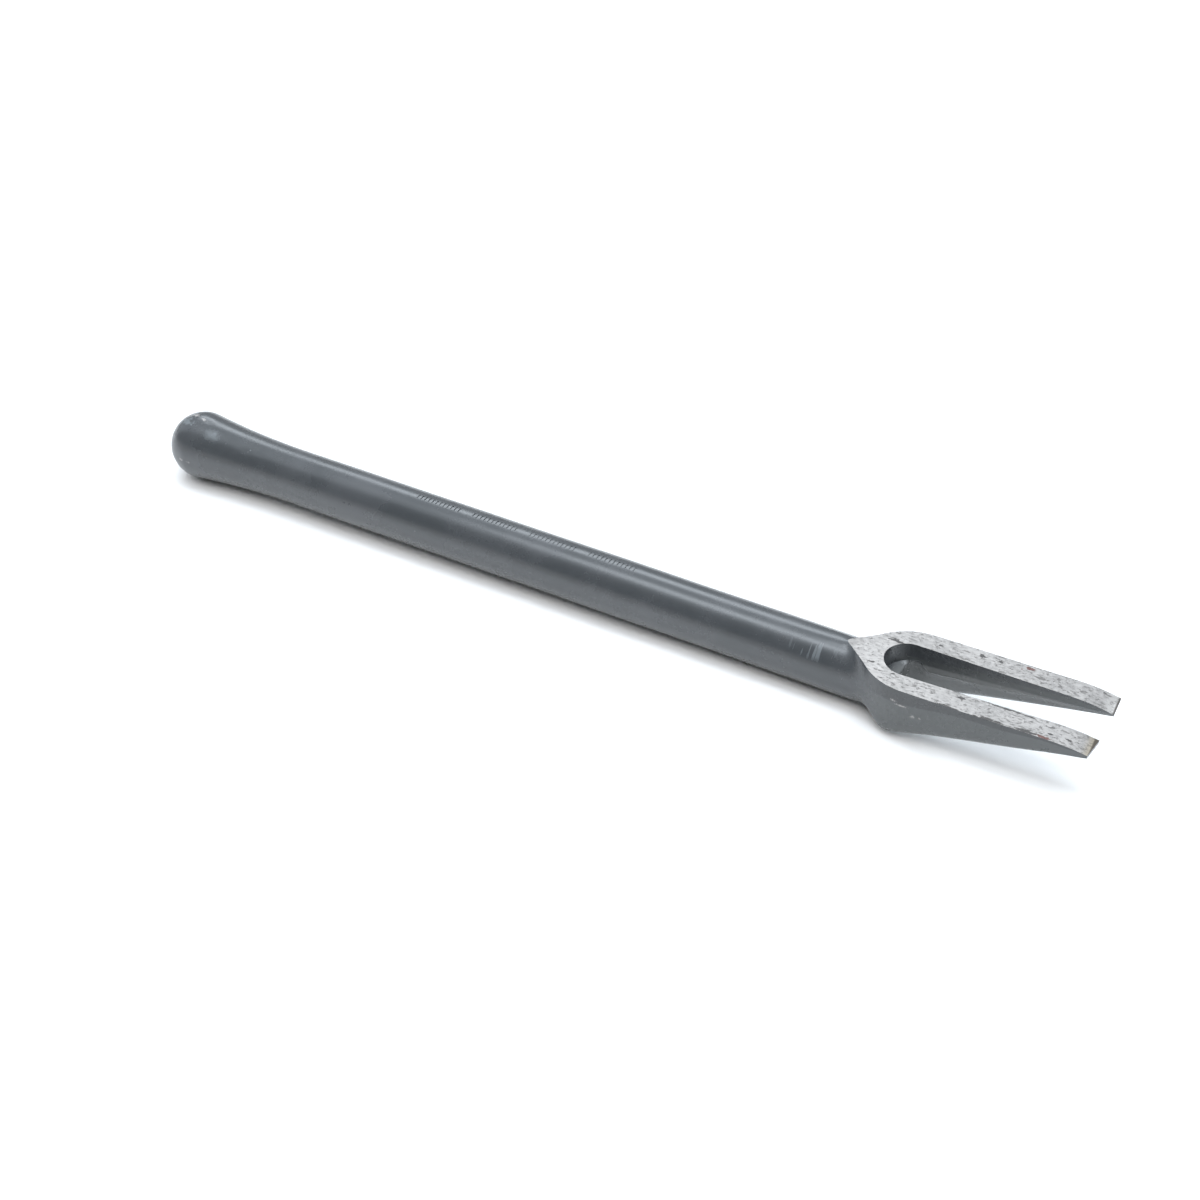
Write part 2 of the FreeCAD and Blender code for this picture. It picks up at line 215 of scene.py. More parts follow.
def smooth_most(a, b, width):
    """The greater of two fields, rounded where they are within width of each other."""
    return -smooth_least(-a, -b, width)


def fade(value, start, end):
    """Runs smoothly from 0 at start to 1 at end."""
    t = np.clip((value - start) / (end - start), 0.0, 1.0)
    return t * t * (3 - 2 * t)


# ---- The forged skin as a solid field: negative inside, in millimetres ----
def grip_radius(x):
    """Ball, flare and slightly tapered grip."""
    behind = np.minimum(x - BALL, 0.0)
    ball = np.sqrt(np.maximum(BALL * BALL - behind * behind, 0.0))
    grip_start = BALL + FLARE
    taper = GRIP + (NECK - GRIP) * np.clip((x - grip_start) / (APEX - grip_start), 0.0, 1.0)
    flare = (BALL - GRIP) * np.clip(1 - (x - BALL) / FLARE, 0.0, 1.4) ** FLARE_CURVE
    return smooth_least(ball, taper + flare, KNOB_BLEND)


def head_half_width(x):
    """Half the fork's width: a straight shoulder, an arc and a nearly straight tine."""
    from_apex = x - APEX
    arc_start = HEAD_HALF - SHOULDER * (1 - math.cos(SHOULDER_ANGLE))
    widest = arc_start + SHOULDER * math.sin(SHOULDER_ANGLE)
    arc = HEAD_HALF - SHOULDER + np.sqrt(np.maximum(SHOULDER ** 2 - (from_apex - widest) ** 2, 0.0))
    tine = HEAD_HALF - (HEAD_HALF - TIP_HALF) * (from_apex - widest) / (LENGTH - APEX - widest)
    return np.where(from_apex < arc_start, from_apex, np.where(from_apex < widest, arc, tine))


def flash_height(x):
    """Height of the parting line on the outer walls."""
    return np.interp(x, *zip(*FLASH))


def face_height(x):
    """Height of the ground face, with its last stretch bending down to the tips."""
    bend = np.maximum(x - (LENGTH - TIP_CURVE), 0.0) / TIP_CURVE
    return FACE_START + FACE_RISE * (x - APEX) - TIP_DROP * bend * bend


def underside_height(x):
    """Height of the wedge's underside, from the heel to the thin tips, a little hollow between them."""
    tip = float(face_height(np.array(LENGTH))) - TIP_THICKNESS
    share = (x - HEEL) / (LENGTH - HEEL)
    on_wedge = np.clip(share, 0, 1)
    hollow = UNDERSIDE_HOLLOW * 4 * on_wedge * (1 - on_wedge)
    return -HEEL_DEPTH + (tip + HEEL_DEPTH) * share + hollow


def fork_field(x, y, z):
    """The fork as a solid head between the outer walls, the heel and a height above the ground face."""
    above = z - flash_height(x)
    draft = np.where(above > 0, DRAFT_ABOVE * above, DRAFT_BELOW * above)
    slant = np.where(x < APEX + 12, SHOULDER_SLANT, TINE_SLANT)
    wall = (np.abs(y) - head_half_width(x) - WALL_SWELL - draft) * slant
    under = (underside_height(x) - z) * UNDERSIDE_SLANT
    lean = np.where(z < 0, HEEL_BACK, NECK_LEAN) * z / HEEL_DEPTH
    back = (HEEL - HEEL_BACK - lean - x) * HEEL_SLANT
    below = smooth_most(under, back, HEEL_BLEND)
    corner = np.clip(CORNER_SHARE * (face_height(x) - underside_height(x)), *CORNER_LIMITS)
    return smooth_most(smooth_most(wall, below, corner), z - FORGED_TOP, 0.5)


def ridge_field(x, y, z):
    """The ridge that runs along the top of the neck into the ground face."""
    rise = fade(x, APEX - 20, APEX + 4) * (1 + np.maximum(x - APEX, 0) * 0.05)
    top = NECK - RIDGE_BELOW_NECK + rise
    ridge = smooth_most((np.abs(y - RIDGE_OFFSET) - RIDGE_HALF) * RIDGE_SIDES, z - top, 2.2)
    ends = smooth_most(APEX - 24 - x, x - (SLOT_END - 1), 1.0)
    return smooth_most(smooth_most(ridge, ends, 2.0), -z, 1.0)


def skin_field(x, y, z):
    """The whole forging before the slot is punched and the top is ground."""
    grip = smooth_most(np.hypot(y, z) - grip_radius(x), x - (SLOT_END + 3), GRIP_END_BLEND)
    whole = smooth_least(grip, fork_field(x, y, z), NECK_BLEND)
    return smooth_least(whole, ridge_field(x, y, z), RIDGE_BLEND)


def unevenness(points, seed, scale, size):
    """A slow, repeatable waviness made from a few sine waves, from 0 to twice size."""
    waves = 9
    chooser = np.random.default_rng(seed)
    total = np.zeros(len(points))
    for _ in range(waves):
        way = chooser.normal(size=3)
        way *= scale * chooser.uniform(0.6, 1.5) / np.linalg.norm(way)
        total += 1 + np.sin(points @ way + chooser.uniform(0, math.tau))
    return total * size / waves


# ---- Mesh helpers ----
def mesh_from(name, points, faces, material):
    """A mesh object from tool millimetres, with one material."""
    mesh = bpy.data.meshes.new(name)
    mesh.from_pydata([tuple(point) for point in place(points)], [], faces)
    mesh.materials.append(material)
    mesh.validate()
    thing = bpy.data.objects.new(name, mesh)
    bpy.context.collection.objects.link(thing)
    return thing


def ring_faces(rings, count):
    """Quads between rings of points, and one face over each end ring."""
    faces = []
    for ring in range(rings - 1):
        for step in range(count):
            after = (step + 1) % count
            low, high = ring * count, (ring + 1) * count
            faces.append((low + step, low + after, high + after, high + step))
    faces.append(tuple(range(count - 1, -1, -1)))
    faces.append(tuple(range((rings - 1) * count, rings * count)))
    return faces


def turn_outwards(thing):
    """Makes the faces of a closed mesh point outwards."""
    work = bmesh.new()
    work.from_mesh(thing.data)
    bmesh.ops.remove_doubles(work, verts=work.verts, dist=1e-7)
    bmesh.ops.recalc_face_normals(work, faces=work.faces)
    work.to_mesh(thing.data)
    work.free()


def smooth_with_edges(thing, sharpest):
    """Smooth shading that keeps the edges sharper than an angle in degrees."""
    thing.data.shade_smooth()
    work = bmesh.new()
    work.from_mesh(thing.data)
    for edge in work.edges:
        edge.smooth = len(edge.link_faces) == 2 and edge.calc_face_angle(0) < math.radians(sharpest)
    work.to_mesh(thing.data)
    work.free()


def baked(thing, name):
    """The object's evaluated mesh as a new plain object; the old one goes."""
    bpy.context.view_layer.update()
    seen = thing.evaluated_get(bpy.context.evaluated_depsgraph_get())
    mesh = bpy.data.meshes.new_from_object(seen)
    mesh.name = name
    result = bpy.data.objects.new(name, mesh)
    bpy.context.collection.objects.link(result)
    bpy.data.objects.remove(thing, do_unlink=True)
    return result


def carved(thing, cutter, name):
    """The thing with the cutter's volume taken out. The cut faces take the cutter's material."""
    cut = thing.modifiers.new("Cut", "BOOLEAN")
    cut.operation = "DIFFERENCE"
    cut.solver = "EXACT"
    cut.material_mode = "TRANSFER"
    cut.object = cutter
    result = baked(thing, name)
    bpy.data.objects.remove(cutter, do_unlink=True)
    return result


# ---- Node trees ----
class Wire:
    """A value socket that can be used in sums. Each sum adds a Math node."""

    def __init__(self, nodes, socket):
        self.nodes = nodes
        self.socket = socket

    def __add__(self, other):
        return self.nodes.sum("ADD", self, other)

    def __sub__(self, other):
        return self.nodes.sum("SUBTRACT", self, other)

    def __rsub__(self, other):
        return self.nodes.sum("SUBTRACT", other, self)

    def __mul__(self, other):
        return self.nodes.sum("MULTIPLY", self, other)

    def __truediv__(self, other):
        return self.nodes.sum("DIVIDE", self, other)

    def __pow__(self, other):
        return self.nodes.sum("POWER", self, other)

    __radd__ = __add__
    __rmul__ = __mul__

    def most(self, other):
        """The greater of this value and another."""
        return self.nodes.sum("MAXIMUM", self, other)


class Nodes:
    """A node tree under construction."""

    def __init__(self, tree):
        self.tree = tree

    def node(self, kind, settings=None, sockets=None):
        """A new node: first its settings, such as a ramp's stops, then its sockets' values or links."""
        made = self.tree.nodes.new(kind)
        for key, value in (settings or {}).items():
            if key == "stops":
                self.set_stops(made.color_ramp.elements, value)
            else:
                setattr(made, key, value)
        for key, value in (sockets or {}).items():
            self.feed(made.inputs[key], value)
        return made

    def set_stops(self, elements, stops):
        while len(elements) < len(stops):
            elements.new(0.5)
        for element, (where, colour) in zip(elements, stops):
            element.position = where
            element.color = colour

    def feed(self, socket, value):
        if isinstance(value, Wire):
            value = value.socket
        if isinstance(value, bpy.types.NodeSocket):
            self.tree.links.new(value, socket)
        else:
            socket.default_value = value

    def sum(self, operation, first, second):
        """The result of a Math node, which can be used in further sums."""
        made = self.node("ShaderNodeMath", {"operation": operation}, {0: first, 1: second})
        return Wire(self, made.outputs[0])


class Finish(Nodes):
    """A material under construction. Its patterns are fixed to the piece."""

    def __init__(self, name, **fixed):
        self.material = bpy.data.materials.new(name)
        self.material.use_nodes = True
        super().__init__(self.material.node_tree)
        self.surface = next(node for node in self.tree.nodes if node.type == "BSDF_PRINCIPLED")
        self.finish(**fixed)
        self.place = self.node("ShaderNodeTexCoord").outputs["Object"]

    def noise(self, scale, detail=4.0, roughness=0.55, stretch=(1, 1, 1)):
        mapped = self.node("ShaderNodeMapping", None, {"Vector": self.place, "Scale": stretch})
        made = self.node("ShaderNodeTexNoise", None, {
            "Vector": mapped.outputs[0], "Scale": scale, "Detail": detail, "Roughness": roughness})
        return Wire(self, made.outputs[0])

    def step(self, value, low, high):
        """Runs smoothly from 0 where the value is low to 1 where it is high."""
        made = self.node("ShaderNodeMapRange", {"interpolation_type": "SMOOTHSTEP", "clamp": True}, {
            "Value": value, "From Min": low, "From Max": high})
        return Wire(self, made.outputs[0])

    def mix(self, amount, first, second):
        """A colour between two others."""
        made = self.node("ShaderNodeMix", {"data_type": "RGBA"}, {0: amount, 6: first, 7: second})
        return made.outputs[2]

    def along(self, axis):
        """Place along an axis, in metres."""
        apart = self.node("ShaderNodeSeparateXYZ", None, {0: self.place})
        return Wire(self, apart.outputs[axis])

    def distance(self, centre, stretch=(1, 1, 1)):
        """Distance in metres from a place on the tool, with each direction weighed by stretch."""
        from_there = self.node("ShaderNodeVectorMath", {"operation": "SUBTRACT"},
                               {0: self.place, 1: spot(*centre)})
        weighed = self.node("ShaderNodeVectorMath", {"operation": "MULTIPLY"},
                            {0: from_there.outputs[0], 1: stretch})
        length = self.node("ShaderNodeVectorMath", {"operation": "LENGTH"}, {0: weighed.outputs[0]})
        return Wire(self, length.outputs["Value"])

    def above_flash(self, x, z):
        """1 above the parting line on the outer walls, and 0 below it."""
        first, last = FLASH[0][0], FLASH[-1][0]
        share = self.node("ShaderNodeMapRange", {"clamp": True}, {
            "Value": x, "From Min": x_at(first), "From Max": x_at(last)}).outputs[0]
        curve = self.node("ShaderNodeFloatCurve", None, {"Value": share})
        points = curve.mapping.curves[0].points
        while len(points) < len(FLASH):
            points.new(0.5, 0.5)
        for point, (where, height) in zip(points, FLASH):
            point.location = ((where - first) / (last - first), height / FLASH_TOP)
            point.handle_type = "VECTOR"
        curve.mapping.update()
        line = Wire(self, curve.outputs[0]) * (FLASH_TOP * MM) + spot(0, 0, 0)[2]
        return self.step(z - line, -0.3 * MM, 0.3 * MM)

    def marks(self, places, ragged, reach, finer):
        """Small marks whose edges two noises make ragged.

        Reach is how far the edges wander, in metres for each millimetre of a mark's width.
        """
        marks = []
        for x, y, z, long, wide in places:
            near = self.distance((x, y, z), (wide / long, 1, 1))
            near = near + (ragged - 0.5) * (reach * wide) + (finer - 0.5) * (reach * wide * 0.4)
            marks.append(self.step(near, wide * 0.6 * MM, wide * 0.4 * MM))
        total = marks[0]
        for mark in marks[1:]:
            total = total.most(mark)
        return total

    def bump(self, height, strength, depth, below=None):
        """A bump, on top of another one if below is given."""
        sockets = {"Height": height, "Strength": strength, "Distance": depth}
        if below is not None:
            sockets["Normal"] = below
        return self.node("ShaderNodeBump", None, sockets).outputs[0]

    def finish(self, **sockets):
        """Sets or links the surface's own sockets, named with _ for a space."""
        for socket, value in sockets.items():
            self.feed(self.surface.inputs[socket.replace("_", " ")], value)
        return self.material


# ---- Finishes ----
def forged_satin():
    """Dark blue-grey coating over forging scale, worn to bare metal at a few knocks. The fork's outer walls
    get painted shade above the parting line and painted light below it, the slot's walls get painted light
    under the ledge, and a brush-marked patch at the neck gets a painted highlight.
    """
    look = Finish("forged_satin_coating", Specular_IOR_Level=0.75)
    scale = look.noise(420, 5, 0.6)
    grain = look.noise(1900, 4, 0.65)
    cloud = look.step(look.noise(55, 3), 0.35, 0.7)
    x, y, z = look.along(0), look.along(1), look.along(2)
    outside = look.step(y * y, ((SLOT_HALF + 1.5) * MM) ** 2, ((SLOT_HALF + 2.5) * MM) ** 2)
    on_fork = look.step(x, x_at(APEX + 12), x_at(APEX + 22))
    above = look.above_flash(x, z)
    above_ledge_line = z - (x - x_at(SLOT_END)) * 0.1
    below_ledge = look.step(above_ledge_line, spot(0, 0, 3.6)[2], spot(0, 0, 2.4)[2])
    in_slot = (1 - outside) * look.step(x, x_at(SLOT_END + 1), x_at(SLOT_END + 3))

    colour = look.mix(cloud, COATING_DARK, COATING_LIGHT)
    # Painted shade on the fork's outer walls above the parting line.
    colour = look.mix(above * outside * on_fork * 0.7, colour, COATING_ABOVE_FLASH)
    # Painted light on the fork's outer walls below the parting line.
    colour = look.mix((1 - above) * on_fork * 0.4, colour, COATING_BELOW_FLASH)
    # Painted light on the slot's walls under the ledge.
    colour = look.mix(below_ledge * in_slot * 0.6, colour, COATING_UNDER_LEDGE)

    brush_strokes = look.step(look.noise(700, 2, 0.5, stretch=(1, 0.1, 0.1)), 0.5, 0.62)
    # Brush marks at the neck, lightened as a painted highlight.
    brushed = brush_strokes * look.step(look.distance(BRUSHED_PATCH, (0.35, 1, 1)), 4.2 * MM, 1.8 * MM)
    from_worn = look.distance(WORN_PATCH, (0.7, 1, 1)) + (scale - 0.5) * (5 * MM) + (grain - 0.5) * (3 * MM)
    worn = look.step(from_worn, 4.5 * MM, 0.0) ** 2
    rubbed = look.marks(RUBBED, scale, 0.005, grain).most(brushed * 0.8).most(worn)
    chipped = look.marks(CHIPS, grain, 0.0026, scale)
    # Rubbing wear, together with the painted highlight on the neck's brush-marked patch.
    colour = look.mix(rubbed * 0.45, colour, COATING_RUBBED)
    colour = look.mix(chipped * 0.75, colour, CHIPPED_STEEL)

    rough = 0.22 + scale * 0.07 + cloud * 0.04 + rubbed * 0.12 + chipped * 0.2
    skin = look.bump(scale, 0.05, 0.08 * MM, look.bump(grain, 0.2, 0.04 * MM))
    skin = look.bump(chipped, 0.5, -0.1 * MM, skin)
    return look.finish(Base_Color=colour, Roughness=rough, Normal=skin)


def ground_steel():
    """Bare ground steel: fine scratches, pits left by scale, rust spots, a heat-tinted near tip and a painted
    highlight on the far tip.
    """
    look = Finish("ground_bare_steel")
    scratches = look.noise(900, 3, 0.6, stretch=(0.05, 1, 1))
    cross_scratches = look.noise(500, 3, 0.6, stretch=(1, 0.12, 1))
    speckle = look.noise(900, 4, 0.6, stretch=(0.5, 1, 1))
    cloud = look.noise(70, 4)
    x = look.along(0)
    towards_tips = look.step(x, x_at(APEX), x_at(LENGTH))
    near_side = look.step(look.along(1), spot(0, 2, 0)[1], spot(0, -2, 0)[1])

    mottle = cloud * 0.4 + speckle * 0.9 + (scratches - 0.5) * 0.5
    colour = look.mix(look.step(mottle, 0.45, 0.85), STEEL_DARK, STEEL_LIGHT)
    colour = look.mix(towards_tips * 0.25, colour, STEEL_TOWARDS_TIPS)
    at_tip = look.step(x, x_at(LENGTH - 5.5), x_at(LENGTH - 2))
    # Painted highlight on the far tine's curved-down tip.
    colour = look.mix(at_tip * (1 - near_side) * 0.5, colour, STEEL_FAR_TIP)
    colour = look.mix(at_tip * near_side * 0.5, colour, STEEL_NEAR_TIP)
    burnt = look.step(x + near_side * (1.8 * MM), x_at(LENGTH - 0.9), x_at(LENGTH - 0.3))
    colour = look.mix(burnt * 0.85, colour, BURNT_EDGE)

    pits = look.step(look.noise(620, 4, 0.6, stretch=(0.45, 1, 1)) + towards_tips * 0.02, 0.635, 0.70)
    specks = look.step(look.noise(1300, 3, 0.65, stretch=(0.5, 1, 1)) + towards_tips * 0.03, 0.58, 0.66)
    pits = (pits * 0.65).most(specks * 0.5).most(look.marks(SCALE_PITS, speckle, 0.0022, scratches))
    rust = look.marks(RUST_SPOTS, speckle, 0.0024, cloud)
    colour = look.mix(pits * 0.85, colour, FORGING_SCALE)
    colour = look.mix(rust * 0.8, colour, RUST)

    rough = 0.46 + (scratches - 0.5) * 0.25 + pits * 0.2
    skin = look.bump(scratches, 0.35, 0.06 * MM, look.bump(cross_scratches, 0.2, 0.05 * MM))
    skin = look.bump(pits, 0.6, -0.2 * MM, skin)
    return look.finish(Base_Color=colour, Roughness=rough, Metallic=0.9 - pits * 0.8, Normal=skin)


def pale_floor():
    """The plain floor that the tool lies on."""
    return Finish("pale_floor", Roughness=0.6, Specular_IOR_Level=0.1).finish(Base_Color=FLOOR_WHITE)


# ---- The forging and its cutters ----
def skin_wear(points):
    """Forging waviness, the small dents, and the near tine's shorter, slightly skewed end."""
    shaped = points.copy()
    x, y, z = points.T
    size = np.hypot(y, z)
    inward = np.stack([np.zeros_like(x), y / size, z / size], axis=-1)
    wavy = (1 - 0.7 * fade(x, HEEL, LENGTH)) * fade(x, BALL * 0.5, BALL * 2.5)
    shaped -= inward * (unevenness(points, 4, 0.12, WAVINESS) * wavy)[:, None]
    for dent_x, dent_y, dent_z, wide, deep in DENTS:
        away = np.sqrt((x - dent_x) ** 2 + (y - dent_y) ** 2 + (z - dent_z) ** 2)
        shaped -= inward * (deep * np.exp(-(away / wide) ** 2 * 2))[:, None]
    near_side = fade(-y, 0.0, 6.0)
    across_tine = np.clip((-y - SLOT_MOUTH) / (TIP_HALF - SLOT_MOUTH), 0, 1)
    shorter = NEAR_TINE_SHORTER + NEAR_TINE_SKEW * across_tine
    shaped[:, 0] -= near_side * shorter * fade(x, LENGTH - 30, LENGTH)
    return shaped


def forged_skin(material):
    """Rings of points along the tool, each pushed out from the middle to the skin field's surface."""
    around = 144
    farthest = 30.0
    halvings = 34

    # Stations lie closest on the ball and at the neck, where the shape turns most.
    neck_start, wedge_start = APEX - 28, HEEL + 4
    stations = np.concatenate([
        BALL * (1 - np.cos(np.linspace(0.06, math.pi / 2, 26))),
        np.linspace(BALL, neck_start, 150)[1:],
        np.linspace(neck_start, wedge_start, 92)[1:],
        np.linspace(wedge_start, LENGTH, 70)[1:],
    ])

    # Rays leave the middle evenly round the grip, and crowd towards the corners of the fork.
    turn = np.linspace(0, math.tau, around, endpoint=False)
    cosine, sine = np.cos(turn), np.sin(turn)
    squareness = fade(stations, APEX - 10, HEEL)[:, None]
    power = 1 - 0.42 * squareness
    top = face_height(stations) + 1.5
    bottom = np.maximum(underside_height(stations), -HEEL_DEPTH)
    middle = np.where(stations > HEEL - 6, (top + bottom) / 2, 0.0)
    middle = (middle * fade(stations, HEEL - 8, wedge_start))[:, None]
    high = ((top - bottom) / 2)[:, None] * squareness + NECK * (1 - squareness)
    wide = 17.5 * squareness + NECK * (1 - squareness)
    aim_y = wide * np.sign(cosine) * np.abs(cosine) ** power
    aim_z = high * np.sign(sine) * np.abs(sine) ** power
    size = np.hypot(aim_y, aim_z)
    aim_y, aim_z = aim_y / size, aim_z / size

    x = np.repeat(stations[:, None], around, axis=1)
    inner, outer = np.zeros_like(x), np.full_like(x, farthest)
    for _ in range(halvings):
        reach = (inner + outer) / 2
        inside = skin_field(x, aim_y * reach, middle + aim_z * reach) < 0
        inner, outer = np.where(inside, reach, inner), np.where(inside, outer, reach)
    reach = (inner + outer) / 2
    points = np.stack([x, aim_y * reach, middle + aim_z * reach], axis=-1).reshape(-1, 3)
    thing = mesh_from("skin", skin_wear(points), ring_faces(len(stations), around), material)
    turn_outwards(thing)
    return thing


def slot_outline():
    """The slot seen from above: nearly straight sides and a round closed end. Gives x, y and its centre."""
    past_tips = LENGTH + 8
    centre = SLOT_END + SLOT_HALF
    lean = math.atan2(SLOT_HALF - SLOT_MOUTH, LENGTH - centre)
    turn = np.linspace(math.pi / 2 - lean, 3 * math.pi / 2 + lean, 60)
    side_x = past_tips + (centre - past_tips) * np.linspace(0, 1, 44)[:-1]
    side_y = SLOT_HALF - (side_x - centre) * math.tan(lean)
    outline = np.concatenate([
        np.stack([side_x, side_y], axis=-1),
        np.stack([centre + SLOT_HALF * np.cos(turn), SLOT_HALF * np.sin(turn)], axis=-1),
        np.stack([side_x[::-1], -side_y[::-1]], axis=-1),
    ])
    return outline[:, 0], outline[:, 1], centre


def slot_cutter(material):
    """The punched slot: an upper wall, a ledge round its closed end, and a lower wall with draft."""
    x, y, centre = slot_outline()
    side = np.clip(y / SLOT_HALF, -1, 1)
    at_closed_end = 3.0 + 0.25 * (x - SLOT_END)
    along_walls = 1.4 + 0.155 * (x - centre - 4)
    parting = at_closed_end + (along_walls - at_closed_end) * fade(x, centre + 2.5, centre + 4.5)
    under = np.maximum(underside_height(x), -HEEL_DEPTH)
    edge_radius = np.clip(0.2 * (face_height(x) - under), 0.3, SLOT_EDGE_RADIUS)

    def level(height, depth, widening):
        """The outline at a height: its closed end moved in by depth, its sides widened."""
        end_x = np.maximum(x, SLOT_END + depth + 1.6 * side ** 4)
        return np.column_stack([end_x, y + side * widening, height + 0 * x])

    levels = [level(-22.0, 5.0, 5.6)]
    for share in (1.0, 0.7, 0.45, 0.25, 0.1, 0.0):
        height = under + edge_radius * (1 - share)
        draft = SLOT_DRAFT * np.maximum(parting - height, 0)
        levels.append(level(height, LEDGE, draft + edge_radius * (1 - math.sqrt(1 - share * share))))
    for share in (0.35, 0.7):
        height = under + edge_radius + (parting - 0.7 - under - edge_radius) * share
        levels.append(level(height, LEDGE + 0.2, SLOT_DRAFT * np.maximum(parting - height, 0)))
    levels += [
        level(parting - 0.6, LEDGE + 0.4, 0.0),
        level(parting - 0.2, LEDGE + 0.1, -0.25),
        level(parting, LEDGE - 0.5, -0.25),
        level(parting + 0.05, 0.0, -0.1),
        level(parting + 0.5, 0.0, 0.0),
        level(20.0, 0.0, 0.1),
    ]
    thing = mesh_from("slot_cutter", np.concatenate(levels), ring_faces(len(levels), len(x)), material)
    turn_outwards(thing)
    return thing


def grinding_cutter(material):
    """Everything above the ground face."""
    side, top = 30, 40
    curve = np.linspace(LENGTH - TIP_CURVE, LENGTH + 4, 24)
    run = np.concatenate([[APEX - 30, LENGTH - TIP_CURVE - 1], curve])
    rings = []
    for x in run:
        height = float(face_height(np.array(x)))
        rings.append([(x, -side, height), (x, side, height), (x, side, top), (x, -side, top)])
    points = np.array(rings).reshape(-1, 3)
    thing = mesh_from("grinding_cutter", points, ring_faces(len(run), 4), material)
    turn_outwards(thing)
    return thing


def stamp_tree():
    """Geometry Nodes: groups of equal, evenly spaced strokes in one row along the grip."""
    tree = bpy.data.node_groups.new("stamped_strokes", "GeometryNodeTree")
    tree.interface.new_socket("Geometry", in_out="OUTPUT", socket_type="NodeSocketGeometry")
    for name, kind in (("Groups", "Int"), ("Group spacing", "Float"), ("Strokes", "Int"),
                       ("Spacing", "Float"), ("Stroke size", "Vector"), ("Start", "Vector"),
                       ("Material", "Material")):
        tree.interface.new_socket(name, in_out="INPUT", socket_type="NodeSocket" + kind)
    nodes = Nodes(tree)
    sizes = nodes.node("NodeGroupInput").outputs

    def made(kind, **sockets):
        """The first output of a new node, with its sockets named with _ for a space."""
        named = {name.replace("_", " "): value for name, value in sockets.items()}
        return nodes.node(kind, None, named).outputs[0]

    def row(count, spacing, start):
        """Points in a row along the tool."""
        step = made("ShaderNodeCombineXYZ", X=spacing)
        return made("GeometryNodeMeshLine", Count=count, Offset=step, Start_Location=start)

    groups = row(sizes["Groups"], sizes["Group spacing"], sizes["Start"])
    strokes = row(sizes["Strokes"], sizes["Spacing"], (0, 0, 0))
    stroke = made("GeometryNodeMeshCube", Size=sizes["Stroke size"])
    group = made("GeometryNodeInstanceOnPoints", Points=strokes, Instance=stroke)
    whole = made("GeometryNodeInstanceOnPoints", Points=groups, Instance=group)
    real = made("GeometryNodeRealizeInstances", Geometry=whole)
    done = made("GeometryNodeSetMaterial", Geometry=real, Material=sizes["Material"])
    nodes.node("NodeGroupOutput", None, {"Geometry": done})
    return tree


def stamp_cutter(material):
    """The strokes that are stamped into the top of the grip."""
    thing = bpy.data.objects.new("stamped_strokes", bpy.data.meshes.new("stamped_strokes"))
    bpy.context.collection.objects.link(thing)
    row = thing.modifiers.new("Row", "NODES")
    row.node_group = stamp_tree()
    names = {item.name: item.identifier for item in row.node_group.interface.items_tree
             if item.in_out == "INPUT"}
    for name, value in {
        "Groups": STAMP_GROUPS, "Group spacing": STAMP_GROUP_SPACING * MM, "Strokes": STAMP_STROKES,
        "Spacing": STAMP_SPACING * MM, "Stroke size": [side * MM for side in STAMP_STROKE],
        "Start": spot(STAMP_START, -0.25, GRIP - 0.02), "Material": material,
    }.items():
        row[names[name]] = value
    return baked(thing, "stamp_cutter")


# ---- Camera, floor and light ----
def set_camera():
    """A normal lens on the near side, above the tool and a little past its tips."""
    data = bpy.data.cameras.new("camera")
    data.lens = CAMERA_LENS
    data.sensor_width = 36.0
    data.clip_start, data.clip_end = 0.01, 20.0
    camera = bpy.data.objects.new("camera", data)
    camera.location = spot(*CAMERA_PLACE)
    camera.rotation_euler = Euler([math.radians(angle) for angle in CAMERA_TURN])
    bpy.context.collection.objects.link(camera)
    bpy.context.scene.camera = camera


def soft_lamp(name, where, size, glow, shows):
    """A soft rectangular lamp, aimed square at the handle. One that doesn't show isn't reflected."""
    data = bpy.data.lights.new(name, "AREA")
    data.shape = "RECTANGLE"
    data.size, data.size_y = size
    data.energy = glow * math.pi * size[0] * size[1]
    data.color = SKY_TINT if shows else (1, 1, 1)
    lamp = bpy.data.objects.new(name, data)
    lamp.location = where
    lamp.visible_glossy = shows
    aim = Vector((where[0], 0, 0))
    lamp.rotation_euler = (aim - Vector(where)).to_track_quat("-Z", "Y").to_euler()
    bpy.context.collection.objects.link(lamp)


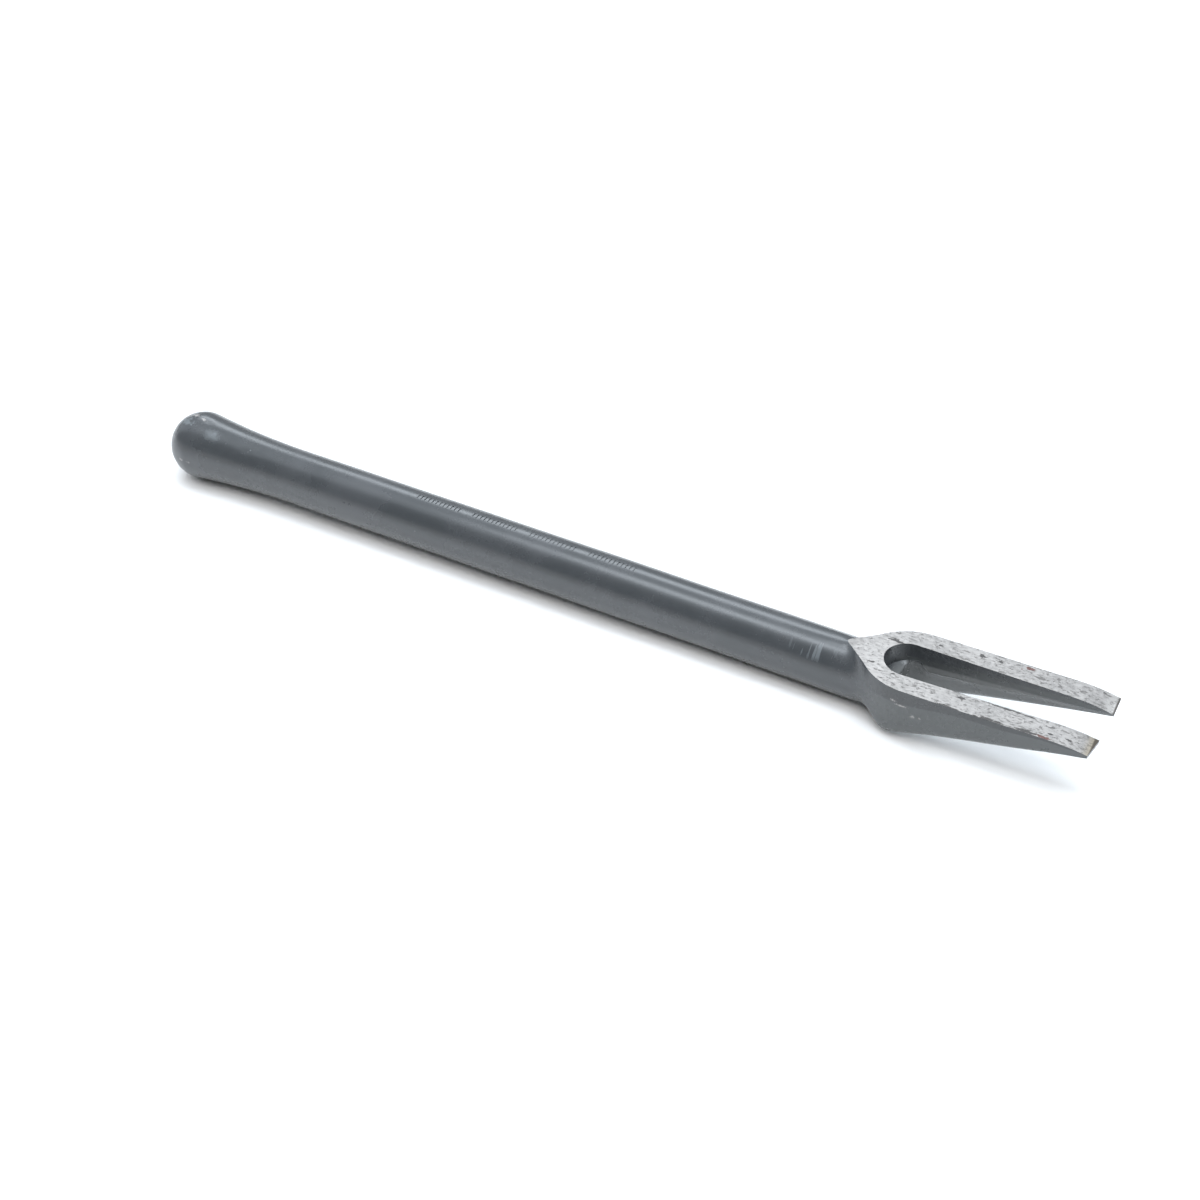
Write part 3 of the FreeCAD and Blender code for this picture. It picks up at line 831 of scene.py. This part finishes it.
def surround():
    """Surroundings in bands of light and dark that run along the tool."""
    world = bpy.data.worlds.new("studio")
    bpy.context.scene.world = world
    world.use_nodes = True
    sky = Nodes(world.node_tree)
    direction = sky.node("ShaderNodeTexCoord").outputs["Generated"]
    apart = sky.node("ShaderNodeSeparateXYZ", None, {0: direction}).outputs
    upward, towards_far = Wire(sky, apart["Z"]), Wire(sky, apart["Y"])
    angle = sky.sum("ARCTAN2", upward, towards_far * -1) / math.pi
    stops = []
    for degrees, level in SURROUNDINGS:
        tint = SKY_TINT if TINTED_ANGLES[0] < degrees < TINTED_ANGLES[1] else (1, 1, 1)
        stops.append((degrees / 180, (*(level * part / SURROUNDINGS_STRENGTH for part in tint), 1)))
    bands = sky.node("ShaderNodeValToRGB", {"stops": stops}, {"Fac": angle})
    background = world.node_tree.nodes["Background"]
    sky.feed(background.inputs["Strength"], SURROUNDINGS_STRENGTH)
    sky.feed(background.inputs["Color"], bands.outputs["Color"])


def lay_floor():
    """A floor just under the knob and the heel, so it tilts a little."""
    under_knob = Vector(spot(BALL, 0, -BALL))
    slope = (BALL - HEEL_DEPTH) / (HEEL - BALL)
    corners = [(x, y, under_knob.z - FLOOR_GAP + (x - under_knob.x) * slope) for x, y in
               ((-FLOOR_HALF, -FLOOR_HALF), (FLOOR_HALF, -FLOOR_HALF),
                (FLOOR_HALF, FLOOR_HALF), (-FLOOR_HALF, FLOOR_HALF))]
    mesh = bpy.data.meshes.new("floor")
    mesh.from_pydata(corners, [], [(0, 1, 2, 3)])
    mesh.materials.append(pale_floor())
    floor = bpy.data.objects.new("floor", mesh)
    bpy.context.collection.objects.link(floor)


set_camera()
surround()
for lamp_name, lamp in LAMPS.items():
    soft_lamp(lamp_name, *lamp)
lay_floor()
bpy.context.scene.view_settings.view_transform = "Standard"

satin = forged_satin()
bare = ground_steel()
fork = forged_skin(satin)
fork = carved(fork, slot_cutter(satin), "fork_with_slot")
fork = carved(fork, grinding_cutter(bare), "fork_ground")
fork = carved(fork, stamp_cutter(satin), "pickle_fork")
turn_outwards(fork)
smooth_with_edges(fork, sharpest=35)
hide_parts("forged_fork")
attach(fork, "root")
